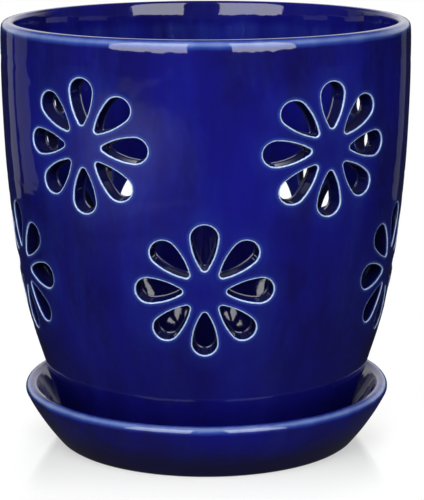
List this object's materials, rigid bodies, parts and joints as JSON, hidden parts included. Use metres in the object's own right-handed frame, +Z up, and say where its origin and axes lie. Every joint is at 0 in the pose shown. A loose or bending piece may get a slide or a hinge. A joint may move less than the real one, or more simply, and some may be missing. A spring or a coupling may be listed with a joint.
{
  "type": "orchid pot with saucer",
  "caption": "Round ceramic orchid pot with flower-shaped air slots pierced through its wall, standing loose in a matching flared drip saucer",
  "frame": {"origin": "on the table under the middle of the saucer, the bottom centre of the whole object's box", "axes": "+Z is up along the pot's axis; -Y faces the camera of the picture and the middle of one lower flower; +X is to its right"},
  "size_m": [0.178, 0.178, 0.187],
  "materials": {
    "pot_glaze": "gloss",
    "saucer_glaze": "gloss"
  },
  "bodies": {
    "saucer": {"saucer": "saucer_glaze"},
    "pot": {"pot": "pot_glaze"}
  },
  "joints": [
    {"name": "pot_lift", "type": "slide", "parent": "saucer", "child": "pot", "axis": [0, 0, 1], "range_m": [0, 0.05]}
  ]
}
